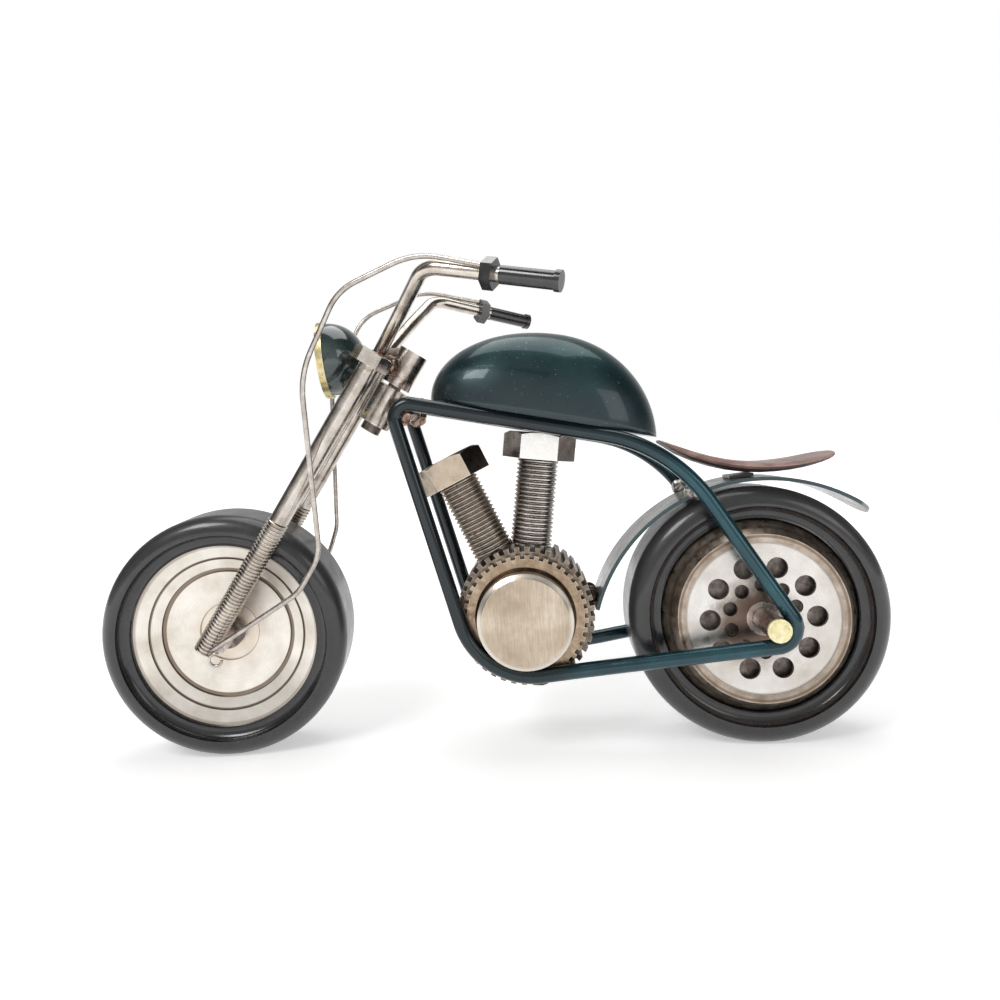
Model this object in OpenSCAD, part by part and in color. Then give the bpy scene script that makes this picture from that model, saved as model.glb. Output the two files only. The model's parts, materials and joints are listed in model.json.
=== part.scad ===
/* [Overall] */
// Distance between the two wheel axles
wheelbase = 151; // [148:0.5:153]
// Angle the bars are turned to one side while standing
turn = 6.6; // [0:0.2:8]
// Lean of the steering axis from upright
rake = 33.6; // [32:0.2:35]

/* [Frame] */
// Diameter of the frame rod
rod_d = 4; // [3.6:0.1:4.2]
// Distance from the middle plane to each frame loop
loop_y = 14.8; // [14.6:0.1:15.2]
// Distance from the middle plane to the loops where they pass the rear axle
splay_y = 21.7; // [21:0.1:23]

/* [Wheels] */
// Outer radius of both tyres
tyre_r = 35; // [33:0.5:35.5]
// Half of the tyre width
tyre_half = 10.5; // [10:0.1:10.8]
// Radius of both axles
axle_r = 3; // [2.8:0.1:3]
// Holes in each of the two rings of a perforated disc
hole_count = 10; // [6:1:10]

/* [Engine] */
// Tip radius of the engine gear
gear_r = 19; // [18.5:0.1:19.2]
// Number of gear teeth
gear_teeth = 40; // [24:2:44]
// Radius of the side covers
cover_r = 12.9; // [12:0.1:13]
// Thread diameter of the cylinder bolts
bolt_d = 12; // [10:0.5:12]
// Size across the flats of the cylinder bolt heads
bolt_af = 18; // [16:0.5:19]

/* [Steering] */
// Distance from the middle plane to each fork leg
leg_y = 15; // [14.8:0.1:15.5]
// Thread diameter of the fork legs
leg_d = 6; // [5:0.5:6]
// Diameter of the handlebar rods
bar_d = 3.8; // [3:0.1:4]
// Outer radius of the headlight rim
lamp_r = 11.1; // [10:0.1:11.2]
// Diameter of the brake cables
cable_d = 1.4; // [1:0.1:1.5]

/* [Hidden] */
$fn = 64;

rod_r = rod_d / 2;
// The turned bars reach further to the far side, so everything shifts to stay centred.
mid_y = -2.9;
gap = 0.1;
// The straight runs of a bent rod reach this far into its bends, which are a hair thicker.
bend_lap = 0.1;
bend_swell = 0.02;

rear_x = wheelbase / 2;
// The head tube's middle, chosen so that the straight-ahead fork puts its axle at -wheelbase / 2.
head_x = -26.2;
head_z = 98.5;
leg_u = -7.8;
// The front axle, from the head tube's middle: along the steering axis, and at right angles to it.
axle_u = (-rear_x - head_x) * cos(rake) - (tyre_r - head_z) * sin(rake);
flat_half = 6;
shoulder = tyre_half - flat_half;
// A turned wheel leans over and stands on the shoulder of its tread, which sets its height.
axle_lean = sin(turn) * sin(rake);
wheel_reach = (tyre_r - shoulder) * sqrt(1 - pow(axle_lean, 2)) + flat_half * axle_lean + shoulder;
axle_w = (wheel_reach - head_z + axle_u * cos(turn) * sin(rake)) / cos(rake);

engine_x = 12.2;
engine_z = 37.8;
gear_half = 10.5;
inner_y = loop_y - rod_r;
hub_r = 4.5;
running_gap = 0.05;
rim_r = 26.4;

function unit(v) = v / norm(v);
function bend_angle(a, b) = acos(unit(a) * unit(b));
function mirrored(points) = [for (p = points) [p.x, -p.y, p.z]];
// A section's upper outline followed by its mirror image, as one closed outline.
function both_sides(points) =
    concat(points, [for (i = [len(points) - 1:-1:0]) [points[i].x, -points[i].y]]);

// ---------- placing ----------

module machine() {
    translate([0, mid_y, 0])
        children();
}

// Children are drawn about the steering axis, with Z up along it and X toward the rear.
module steering() {
    machine()
        translate([head_x, 0, head_z])
            rotate([0, rake, 0])
                rotate([0, 0, turn])
                    children();
}

// Children are drawn where they sit with the bars straight ahead, and turn with the steering.
module steered() {
    steering()
        rotate([0, -rake, 0])
            translate([-head_x, 0, -head_z])
                children();
}

// Children are drawn about the frame's head tube, which does not turn.
module neck() {
    translate([head_x, 0, head_z])
        rotate([0, rake, 0])
            children();
}

// Children are drawn about Z and laid over so that Z points to the left or right side.
module sideways(side) {
    rotate([90, 0, 0])
        mirror([0, 0, side > 0 ? 1 : 0])
            children();
}

module front_wheel(side = -1) {
    steering()
        translate([axle_u, 0, axle_w])
            sideways(side)
                children();
}

module rear_wheel(side = -1) {
    machine()
        translate([rear_x, 0, tyre_r])
            sideways(side)
                children();
}

module at_engine(side = -1) {
    translate([engine_x, 0, engine_z])
        sideways(side)
            children();
}

module engine(side = -1) {
    machine()
        at_engine(side)
            children();
}

// ---------- shared shapes ----------

module straight(a, b, d) {
    v = b - a;
    translate(a)
        rotate([0, acos(v.z / norm(v)), atan2(v.y, v.x)])
            cylinder(d = d, h = norm(v));
}

module elbow(corner, from, to, bend_r, d) {
    inward = unit(to - from * (from * to));
    up = cross(-inward, from);
    start = corner - from * bend_r * tan(bend_angle(from, to) / 2);
    translate(start + inward * bend_r)
        rotate([atan2(from.z, up.z), asin(inward.z), atan2(-inward.y, -inward.x)])
            rotate_extrude(angle = bend_angle(from, to))
                translate([bend_r, 0])
                    circle(d = d + bend_swell);
}

// A rod through the given corners, each rounded to its own bend radius.
module bent_rod(corners, radii, d, closed = false) {
    n = len(corners);
    last = closed ? n - 1 : n - 2;
    runs = [for (i = [0:last]) unit(corners[(i + 1) % n] - corners[i])];
    is_bend = [for (i = [0:n - 1]) closed || (i > 0 && i < n - 1)];
    setback = [for (i = [0:n - 1])
        is_bend[i] ? radii[i] * tan(bend_angle(runs[(i + n - 1) % n], runs[i]) / 2) : bend_lap];
    for (i = [0:last])
        straight(corners[i] + runs[i] * (setback[i] - bend_lap),
            corners[(i + 1) % n] - runs[i] * (setback[(i + 1) % n] - bend_lap), d);
    for (i = [0:n - 1])
        if (is_bend[i])
            elbow(corners[i], runs[(i + n - 1) % n], runs[i], radii[i], d);
}

// A threaded rod from z = 0 up to the given length, with a ring for each turn.
module threaded(d, length, pitch) {
    rings = floor(length / pitch);
    root_r = d / 2 - 0.55 * pitch;
    rotate_extrude()
        polygon(concat(
            [[0, 0], [root_r, 0]],
            [for (i = [0:rings - 1])
                for (p = [[root_r, 0.06], [d / 2, 0.4], [d / 2, 0.6], [root_r, 0.94]])
                    [p[0], (i + p[1]) * pitch]],
            [[root_r, length], [0, length]]));
}

// A hexagon head from z = 0 up, with its corners chamfered on top.
module hex_head(af, height) {
    corner_r = af / sqrt(3);
    chamfer = (corner_r - af / 2) * tan(30);
    intersection() {
        cylinder(r = corner_r, h = height, $fn = 6);
        rotate_extrude()
            polygon([[0, 0], [corner_r + 1, 0], [corner_r + 1, height - chamfer - tan(30)],
                [af / 2 - 0.2, height], [0, height]]);
    }
}

// A closed skin over cross-sections that all have the same number of points.
module loft(rings) {
    n = len(rings);
    m = len(rings[0]);
    walls = [for (i = [0:n - 2])
        for (j = [0:m - 1])
            [i * m + j, i * m + (j + 1) % m, (i + 1) * m + (j + 1) % m, (i + 1) * m + j]];
    start_cap = [for (j = [m - 1:-1:0]) j];
    end_cap = [for (j = [0:m - 1]) (n - 1) * m + j];
    polyhedron([for (ring = rings) each ring], concat([start_cap, end_cap], walls), convexity = 4);
}

// A rounded weld bead laid along a run of points.
module bead(points, r) {
    for (p = points)
        translate(p)
            sphere(r = r);
}

// Children are drawn on the right and again, mirrored, on the left.
module both() {
    children();
    mirror([0, 1, 0])
        children();
}

// ---------- frame loops and neck ----------

top_slope = 0.222;
function rail_z(x) = 96.9 - top_slope * (x + 12);

neck_corner = [-21.9, 99.1];
bottom_corner = [-1, 20.9];
splay_start = [31, 24.1];
axle_corner = [84, 30.9];
seat_corner = [53.3, 82.4];
loop_bends = [4, 20, 60, 5.2, 40];

module loop_rod(side) {
    bent_rod([
        [neck_corner.x, side * loop_y, neck_corner.y],
        [bottom_corner.x, side * loop_y, bottom_corner.y],
        [splay_start.x, side * loop_y, splay_start.y],
        [axle_corner.x, side * splay_y, axle_corner.y],
        [seat_corner.x, side * loop_y, seat_corner.y]
    ], loop_bends, rod_d, true);
}

module frame_loop_left() {
    color("#0d4a4f")
        machine()
            loop_rod(-1);
}

module frame_loop_right() {
    color("#0d4a4f")
        machine()
            loop_rod(1);
}

head_tube_r = 4.75;
head_low = -5.8;
head_high = 6;
pin_r = 2;
collar_low = 7;
collar_high = 18;
collar_r = 4.4;

module head_tube_rod(extra = 0) {
    neck()
        translate([0, 0, head_low - extra])
            cylinder(r = head_tube_r, h = head_high - head_low + 2 * extra);
}

module head_tube() {
    color("#8f8378")
        machine()
            difference() {
                head_tube_rod();
                neck()
                    translate([0, 0, head_low - 1])
                        cylinder(r = pin_r + running_gap, h = head_high - head_low + 2);
            }
}

crossbar_at = [-19.7, 0, 95.9];
crossbar_r = 2.4;
crossbar_half = inner_y - gap / 2;

module crossbar_rod() {
    translate(crossbar_at)
        rotate([90, 0, 0])
            cylinder(r = crossbar_r, h = 2 * crossbar_half, center = true);
}

module neck_crossbar() {
    color("#4a423c")
        machine()
            difference() {
                crossbar_rod();
                head_tube_rod(2);
            }
}

module neck_welds() {
    color("#a87763")
        machine()
            both()
                difference() {
                    bead([crossbar_at + [1.3, crossbar_half - 1, -0.9]], 2.9);
                    crossbar_rod();
                    loop_rod(1);
                }
}

// ---------- tank, seat and fender ----------

tank_front = -12;
tank_length = 64;
tank_height = 25.2;
tank_half = 17.5;
tank_peak = 0.6;
tank_rings = 22;
tank_sides = 24;

function tank_base_z(x) = 99 - top_slope * (x - tank_front);

// Height of the dome's ridge over its base, from 0 at each end to 1 at the peak.
function tank_rise(t) = t < tank_peak
    ? pow(1 - pow((tank_peak - t) / tank_peak, 1.9), 1 / 1.9)
    : pow(1 - pow((t - tank_peak) / (1 - tank_peak), 2.15), 1 / 2.15);

function tank_ring(t) =
    let (
        x = tank_front + tank_length * t,
        half = tank_half * pow(1 - pow(abs(2 * t - 1), 2.6), 1 / 2.6),
        rise = tank_height * tank_rise(t))
    [for (j = [0:tank_sides])
        let (a = 180 * j / tank_sides)
        [x, half * sign(cos(a)) * pow(abs(cos(a)), 0.85), tank_base_z(x) + rise * pow(sin(a), 0.85)]];

module fuel_tank() {
    color("#1c4246")
        machine()
            loft([for (i = [0:tank_rings]) tank_ring(0.5 - 0.496 * cos(180 * i / tank_rings))]);
}

module tank_underside() {
    translate([tank_front, 0, tank_base_z(tank_front) - gap / 2])
        rotate([0, atan(top_slope), 0])
            translate([-20, -30, 0])
                cube([100, 60, 10]);
}

module tank_welds() {
    color("#3a3632")
        machine()
            both()
                difference() {
                    bead([for (x = [-15.4, -12.2, -9, -5.8]) [x, inner_y + 0.4, rail_z(x) + 1.1]], 1.7);
                    tank_underside();
                    loop_rod(1);
                }
}

seat_front = 52.6;
seat_length = 47;
seat_rings = 16;
seat_sides = 20;

function seat_ring(t) =
    let (
        x = seat_front + seat_length * t,
        mid_z = 74.9 + 0.0105 * pow(x - 81, 2) * (x < 81 ? 1 : 0.8),
        half = (4.5 + 8.7 * pow(sin(90 * min(1, 1.25 * t)), 2)) * pow(1 - pow(t, 9), 0.4),
        thick = 0.5 + 1.1 * pow(sin(180 * pow(t, 0.75)), 0.5))
    [for (j = [0:seat_sides - 1])
        let (a = 360 * j / seat_sides)
        [x, -half * sign(cos(a)) * pow(abs(cos(a)), 0.7),
            mid_z + 0.02 * half * pow(cos(a), 2) + thick * sign(sin(a)) * pow(abs(sin(a)), 0.8)]];

module seat() {
    color("#7c5a4d")
        machine()
            loft([for (i = [0:seat_rings]) seat_ring(0.997 * sin(90 * i / seat_rings))]);
}

fender_x = 77.9;
fender_z = 24;
fender_r = 48.4;
fender_wall = 1;
fender_half = 8;
fender_front = 163;
fender_tail = 50.5;
// The tail ends in a half-round, so its straight sides stop short by that radius.
tail_round = asin(fender_half / fender_r);

module at_fender() {
    translate([fender_x, 0, fender_z])
        rotate([90, 0, 0])
            children();
}

module fender_strip() {
    at_fender()
        rotate([0, 0, fender_tail])
            rotate_extrude(angle = fender_front - fender_tail)
                translate([fender_r - fender_wall, -fender_half])
                    square([fender_wall, 2 * fender_half]);
}

// What the half-round tail leaves off the end of the strip.
module tail_corners() {
    at_fender()
        rotate([0, 0, fender_tail + tail_round])
            difference() {
                translate([fender_r - 5, -12, -12])
                    cube([10, 12, 24]);
                translate([fender_r - 6, 0, 0])
                    rotate([0, 90, 0])
                        cylinder(r = fender_half + gap / 2, h = 12);
            }
}

module rear_fender() {
    color("#8d8478")
        machine()
            difference() {
                fender_strip();
                tail_corners();
                at_engine()
                    cylinder(r = gear_r + gap / 2, h = 4 * gear_r, center = true);
            }
}

bracket_angle = 94.5;
bracket_size = [0.9, 6.6, 8];

module seat_bracket() {
    color("#2c2623")
        machine()
            at_fender()
                rotate([0, 0, bracket_angle])
                    translate([fender_r, -bracket_size.y / 2, -bracket_size.z / 2])
                        cube(bracket_size);
}

module fender_welds() {
    color("#a9a6a1")
        machine()
            both()
                difference() {
                    bead([[59.4, 8.9, 69.6], [60.8, 11.6, 69.6]], 2.3);
                    loop_rod(1);
                    fender_strip();
                }
}

// ---------- engine ----------

tooth_depth = 1.3;
ring_r = 17;
ring_in = inner_y - 1.3;
ring_out = inner_y - gap;
spacer_r = 13.8;
spacer_out = 14.1;
cover_out = 18.8;
cover_bevel = 0.9;

module tooth_gaps(tip_r, depth, height, count) {
    width = 0.5 * 2 * PI * tip_r / count;
    for (i = [0:count - 1])
        rotate([0, 0, 360 * i / count])
            translate([tip_r - depth, -width / 2, -height / 2])
                cube([2 * depth, width, height]);
}

module engine_gear() {
    color("#6d5a45")
        engine()
            difference() {
                union() {
                    cylinder(r = gear_r, h = 2 * gear_half, center = true);
                    cylinder(r = 15.5, h = 2 * ring_in, center = true);
                }
                tooth_gaps(gear_r, tooth_depth, 3 * gear_half, gear_teeth);
            }
}

module toothed_ring(side) {
    color("#b08d4f")
        engine(side)
            difference() {
                translate([0, 0, ring_in])
                    cylinder(r = ring_r, h = ring_out - ring_in);
                tooth_gaps(ring_r, 1, 6 * ring_out, gear_teeth);
            }
}

module toothed_ring_left() {
    toothed_ring(-1);
}

module toothed_ring_right() {
    toothed_ring(1);
}

module engine_spacer(side) {
    color("#3b2c22")
        engine(side)
            translate([0, 0, ring_out])
                cylinder(r1 = spacer_r, r2 = cover_r, h = spacer_out - ring_out);
}

module engine_spacer_left() {
    engine_spacer(-1);
}

module engine_spacer_right() {
    engine_spacer(1);
}

module engine_cover(side) {
    color("#c9b699")
        engine(side) {
            translate([0, 0, spacer_out])
                cylinder(r = cover_r, h = cover_out - cover_bevel - spacer_out);
            translate([0, 0, cover_out - cover_bevel])
                cylinder(r1 = cover_r, r2 = cover_r - 1.4 * cover_bevel, h = cover_bevel);
        }
}

module engine_cover_left() {
    engine_cover(-1);
}

module engine_cover_right() {
    engine_cover(1);
}

bolt_pitch = 1.25;
bolt_head = 7.5;

// A cylinder bolt whose thread runs down into the gear, and is cut away to rest on its teeth.
module cylinder_bolt(neck_at, lean) {
    machine()
        difference() {
            translate([neck_at.x, 0, neck_at.y])
                rotate([0, lean, 0]) {
                    hex_head(bolt_af, bolt_head);
                    rotate([180, 0, 0])
                        threaded(bolt_d, 21 * bolt_pitch, bolt_pitch);
                }
            at_engine()
                cylinder(r = gear_r + gap / 5, h = 60, center = true);
        }
}

module front_cylinder_bolt() {
    color("#8a7a6a")
        cylinder_bolt([-5.6, 75.2], -24.5);
}

module rear_cylinder_bolt() {
    color("#9a938a")
        cylinder_bolt([18.1, 80.5], 8.2);
}

// A plain rod a little thicker than a loop's lower run, from its front corner past the engine.
module lower_run_clearance() {
    start = [bottom_corner.x, loop_y, bottom_corner.y];
    end = [splay_start.x, loop_y, splay_start.y];
    straight(start, end + 0.3 * (end - start), rod_d + gap);
}

// The beads at the gear's foot stay below the toothed rings.
ring_foot_z = 20.7;

module engine_welds() {
    color("#2a241f")
        machine() {
            both()
                difference() {
                    bead([[15, 12.1, 20.1]], 2.4);
                    lower_run_clearance();
                    at_engine()
                        cylinder(r = gear_r, h = 2 * gear_half, center = true);
                    translate([8, 0, ring_foot_z])
                        cube([14, ring_out + gap / 2, 9]);
                }
            difference() {
                bead([for (y = [-4.5, 0, 4.5]) [31, y, 41.4]], 1.9);
                at_engine()
                    cylinder(r = gear_r, h = 2 * gear_half, center = true);
                fender_strip();
            }
        }
}

// ---------- rear axle ----------

axle_half = 25.3;
cap_thick = 0.9;

module rear_axle_rod() {
    translate([rear_x, 0, tyre_r])
        rotate([90, 0, 0])
            cylinder(r = axle_r, h = 2 * (axle_half - cap_thick), center = true);
}

module rear_axle() {
    color("#8c7b78")
        machine()
            rear_axle_rod();
}

module axle_caps() {
    color("#d9cfa4")
        for (side = [-1, 1])
            rear_wheel(side)
                translate([0, 0, axle_half - cap_thick])
                    cylinder(r = axle_r, h = cap_thick);
}

module axle_welds() {
    color("#2b2724")
        machine()
            both()
                difference() {
                    union() {
                        bead([
                            [rear_x + 5, 19.6, tyre_r + 1.6],
                            [rear_x + 4.2, 19.3, tyre_r - 2.8]
                        ], 2.1);
                        bead([[rear_x + 2.6, 19.4, tyre_r - 4.6]], 1.9);
                    }
                    rear_axle_rod();
                    loop_rod(1);
                }
}

// ---------- steering ----------

pin_low = -8.4;
peen_r = 2.9;

module steering_collar() {
    color("#8f8378")
        steering()
            translate([0, 0, collar_low])
                cylinder(r = collar_r, h = collar_high - collar_low);
}

// The pin turns in the head tube, and its low end is spread so that it can't pull out.
module pivot_pin() {
    color("#7d766e")
        steering() {
            translate([0, 0, pin_low + 1])
                cylinder(r = pin_r, h = collar_low - pin_low - 1);
            translate([0, 0, pin_low])
                cylinder(r = peen_r, h = head_low - gap - pin_low);
        }
}

leg_af = 9.6;
leg_head = 4;
leg_head_w = 8.6;
leg_thread_w = -41;
leg_pitch = 1;
leg_tip_w = axle_w - 2.8;
leg_threads = ceil((leg_thread_w - leg_tip_w) / leg_pitch);

module fork_leg(side) {
    color("#8a7f78")
        steering()
            translate([leg_u, side * leg_y, 0]) {
                translate([0, 0, leg_head_w])
                    hex_head(leg_af, leg_head);
                translate([0, 0, leg_thread_w])
                    cylinder(d = leg_d - 0.7, h = leg_head_w - leg_thread_w);
                translate([0, 0, leg_thread_w - leg_threads * leg_pitch])
                    threaded(leg_d, leg_threads * leg_pitch, leg_pitch);
            }
}

module fork_leg_left() {
    fork_leg(-1);
}

module fork_leg_right() {
    fork_leg(1);
}

module front_axle() {
    color("#8c7b78")
        difference() {
            front_wheel()
                cylinder(r = axle_r, h = 2 * leg_y - leg_d / 2, center = true);
            steering()
                for (side = [-1, 1])
                    translate([leg_u, side * leg_y, axle_w - 20])
                        cylinder(d = leg_d + gap / 2, h = 40);
        }
}

bar_low = [-25.4, -7, 113.9];
bar_mid = [-17.5, -18.3, 124];
bar_high = [-10.5, -31.5, 132.6];
bar_tip = [21.7, -45.1, 125];
bar_run = unit(bar_tip - bar_high);
nut_start = 16.4;
nut_thick = 2.8;
nut_af = 7;
grip_start = 20.7;
grip_d = 4.5;
grip_end = norm(bar_tip - bar_high);

function to_side(p, side) = [p.x, -side * p.y, p.z];

module bar_rod(side, d = bar_d) {
    steered()
        bent_rod([
            to_side(bar_low, side),
            to_side(bar_mid, side),
            to_side(bar_high, side),
            to_side(bar_tip - 2 * bar_run, side)
        ], [0, 25, 8, 0], d);
}

// Children are drawn about the outer run of a handlebar, with Z along it from its high bend.
module on_bar(side) {
    run = to_side(bar_run, side);
    steered()
        translate(to_side(bar_high, side))
            rotate([0, acos(run.z), atan2(run.y, run.x)])
                children();
}

module handlebar_left() {
    color("#9a8f84")
        bar_rod(-1);
}

module handlebar_right() {
    color("#9a8f84")
        bar_rod(1);
}

module bar_nuts() {
    color("#1b1a19")
        for (side = [-1, 1])
            on_bar(side)
                translate([0, 0, nut_start])
                    difference() {
                        cylinder(r = nut_af / sqrt(3), h = nut_thick, $fn = 6);
                        translate([0, 0, -1])
                            cylinder(d = bar_d, h = nut_thick + 2);
                    }
}

module grip(side) {
    color("#141414")
        on_bar(side)
            difference() {
                union() {
                    translate([0, 0, grip_start])
                        cylinder(d = grip_d, h = grip_end - grip_start);
                    translate([0, 0, grip_end - 1.4])
                        cylinder(d = grip_d + 0.7, h = 1.4);
                }
                translate([0, 0, grip_start - 1])
                    cylinder(d = bar_d, h = grip_end - 2 - grip_start + 1);
            }
}

module grip_left() {
    grip(-1);
}

module grip_right() {
    grip(1);
}

// Beads that join the foot of each handlebar to the collar and to the head of a fork leg.
module crown_welds() {
    color("#a87763")
        steering()
            both()
                difference() {
                    bead([[-3.8, 4.4, 11.4], [-5.9, 7.2, 11], [-7.4, 8.6, 10.4]], 2.8);
                    cylinder(r = collar_r, h = 30);
                    translate([-20, leg_y - leg_af / 2, 0])
                        cube([40, leg_af, 30]);
                    rotate([0, -rake, 0])
                        translate([-head_x, 0, -head_z])
                            straight(to_side(bar_low, 1), to_side(bar_mid, 1), bar_d);
                }
}

// ---------- headlight ----------

lamp_x = -41;
lamp_z = 112.8;
lamp_nod = 3.6;
rim_thick = 1.9;
lamp_wall = 1.2;
bowl_r = lamp_r - 0.5;

// Children are drawn about the lamp, with Z pointing out of its face.
module lamp() {
    steered()
        translate([lamp_x, 0, lamp_z])
            rotate([0, -90 - lamp_nod, 0])
                children();
}

module headlight_shell() {
    color("#20302c")
        lamp()
            difference() {
                sphere(r = bowl_r);
                sphere(r = bowl_r - lamp_wall);
                cylinder(r = 2 * lamp_r, h = 2 * lamp_r);
            }
}

module headlight_rim() {
    color("#b39a5c")
        lamp()
            difference() {
                cylinder(r = lamp_r, h = rim_thick);
                translate([0, 0, -1])
                    cylinder(r = bowl_r - lamp_wall, h = rim_thick + 2);
            }
}

module headlight_face() {
    color("#cfd3cc")
        lamp()
            translate([0, 0, 0.2])
                cylinder(r = bowl_r - lamp_wall, h = 0.8);
}

bracket_d = 3.4;

module headlight_bracket() {
    color("#4a423c")
        difference() {
            steered()
                straight([lamp_x + 6, 0, lamp_z + 0.6], [-18.5, 0, 113.6], bracket_d);
            lamp()
                sphere(r = bowl_r);
            steering()
                cylinder(r = collar_r, h = 40);
        }
}

// ---------- brake cables ----------

cable_leg = [[-50, -21, 50], [-69.7, -20, 38.4], [-74.9, -17.85, 35.1]];
cable_bends = [0, 20, 14, 25, 12, 12, 8, 0];

module brake_cable_left() {
    color("#8a8078")
        steered()
            bent_rod(concat([[3.5, -40.2, 130.7], [-12.5, -32, 136], [-33, -27, 128.5], [-44.5, -24, 108],
                [-43.6, -21, 60]], cable_leg), cable_bends, cable_d);
}

module brake_cable_right() {
    color("#8a8078")
        steered()
            bent_rod(concat([[4.6, 38.3, 132], [-14, 32, 135.8], [-34, 26.5, 127.5], [-45.3, 24.5, 106],
                [-46.3, 21, 60]], mirrored(cable_leg)), cable_bends, cable_d);
}

hook_wire = 0.8;
hook_r = 1.7;
// The hook's middle, just below and outside the end of its cable.
hook_at = [-74.4, -18.5, 32.4];

// An open hook of wire below the end of each brake cable.
module cable_hooks() {
    color("#8a8078")
        steered()
            both()
                difference() {
                    translate(hook_at)
                        rotate([90, 0, 0])
                            rotate([0, 0, 60])
                                rotate_extrude(angle = 290)
                                    translate([hook_r, 0])
                                        circle(d = hook_wire);
                    straight(cable_leg[1], cable_leg[2], cable_d + gap / 10);
                }
}

// ---------- wheels ----------

// Half of a tyre's section: flat tread, round shoulder, a raised rib and a hollow inside it.
module tyre() {
    rotate_extrude()
        difference() {
            union() {
                translate([rim_r, -flat_half])
                    square([tyre_r - rim_r, 2 * flat_half]);
                translate([rim_r, -tyre_half])
                    square([tyre_r - shoulder - rim_r, 2 * tyre_half]);
                for (side = [-1, 1])
                    translate([tyre_r - shoulder, side * flat_half])
                        circle(r = shoulder);
            }
            for (side = [-1, 1])
                translate([rim_r + 1, side * (tyre_half - 0.3)])
                    circle(r = 2.4);
            translate([0, -2 * tyre_half])
                square([rim_r, 4 * tyre_half]);
        }
}

module front_tyre() {
    color("#2e2f31")
        front_wheel()
            tyre();
}

module rear_tyre() {
    color("#2e2f31")
        rear_wheel()
            tyre();
}

// A dished disc with a fine groove, a wide groove and a sunk centre.
dish_plate = 1.2;

module front_disc(side) {
    color("#cfc6b4")
        front_wheel(side)
            rotate_extrude()
                polygon([
                    [hub_r, 2.5], [8.5, 2.5], [8.5, 2.9], [18, 3.9],
                    [18.1, 3.4], [19.1, 3.6], [19.2, 4.3],
                    [22, 5.3], [22.1, 4.9], [22.5, 5.05], [22.6, 5.5],
                    [26, 6.9], [rim_r, 7], [rim_r, 5.6],
                    [18.6, 3.9 - dish_plate], [8.5, 2.9 - dish_plate], [hub_r, 2.9 - dish_plate]
                ]);
}

module front_disc_left() {
    front_disc(-1);
}

module front_disc_right() {
    front_disc(1);
}

front_hub_half = 5;

module front_core() {
    color("#8f8a80")
        front_wheel()
            rotate_extrude()
                polygon(both_sides([
                    [axle_r + running_gap, front_hub_half], [hub_r, front_hub_half],
                    [hub_r, 2.9 - dish_plate], [8.5, 2.9 - dish_plate],
                    [18.6, 3.9 - dish_plate], [rim_r, 5.6]
                ]));
}

disc_r = 20.4;
disc_out = 12;
disc_plate = 1;
core_half = 9;
rim_depth = 5.8;

module rear_rim(side) {
    color("#7a6048")
        rear_wheel(side)
            rotate_extrude()
                polygon([
                    [rim_r, rim_depth], [rim_r, 7], [22.6, 12.5], [22.1, 12.5], [disc_r, 12.1],
                    [disc_r, core_half], [22.3, core_half], [24.9, rim_depth]
                ]);
}

module rear_rim_left() {
    rear_rim(-1);
}

module rear_rim_right() {
    rear_rim(1);
}

module perforated_disc(side) {
    color("#d8d6d0")
        rear_wheel(side)
            translate([0, 0, disc_out - disc_plate])
                difference() {
                    cylinder(r = disc_r, h = disc_plate);
                    translate([0, 0, -1])
                        cylinder(r = hub_r, h = disc_plate + 2);
                    for (i = [0:hole_count - 1]) {
                        rotate([0, 0, 360 * i / hole_count])
                            translate([14, 0, -1])
                                cylinder(d = 5.6, h = disc_plate + 2);
                        rotate([0, 0, 360 * (i + 0.5) / hole_count])
                            translate([9, 0, -1])
                                cylinder(d = 3.8, h = disc_plate + 2);
                    }
                }
}

module perforated_disc_left() {
    perforated_disc(-1);
}

module perforated_disc_right() {
    perforated_disc(1);
}

module rear_core() {
    color("#6f675e")
        rear_wheel()
            rotate_extrude()
                polygon(both_sides([
                    [hub_r, core_half], [22.3, core_half], [24.9, rim_depth], [rim_r, rim_depth]
                ]));
}

module rear_hub() {
    color("#a09488")
        rear_wheel()
            difference() {
                cylinder(r = hub_r, h = 2 * disc_out + 0.6, center = true);
                cylinder(r = axle_r + running_gap, h = 3 * disc_out, center = true);
            }
}

frame_loop_left();
frame_loop_right();
head_tube();
neck_crossbar();
neck_welds();
fuel_tank();
tank_welds();
seat();
seat_bracket();
rear_fender();
fender_welds();
engine_gear();
toothed_ring_left();
toothed_ring_right();
engine_spacer_left();
engine_spacer_right();
engine_cover_left();
engine_cover_right();
front_cylinder_bolt();
rear_cylinder_bolt();
engine_welds();
rear_axle();
axle_caps();
axle_welds();
steering_collar();
pivot_pin();
fork_leg_left();
fork_leg_right();
crown_welds();
handlebar_left();
handlebar_right();
bar_nuts();
grip_left();
grip_right();
headlight_shell();
headlight_rim();
headlight_face();
headlight_bracket();
brake_cable_left();
brake_cable_right();
cable_hooks();
front_axle();
front_tyre();
front_disc_left();
front_disc_right();
front_core();
rear_tyre();
rear_rim_left();
rear_rim_right();
perforated_disc_left();
perforated_disc_right();
rear_core();
rear_hub();
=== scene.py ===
import json
import math

import bmesh
import bpy
from mathutils import Matrix, Vector, noise


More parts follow.
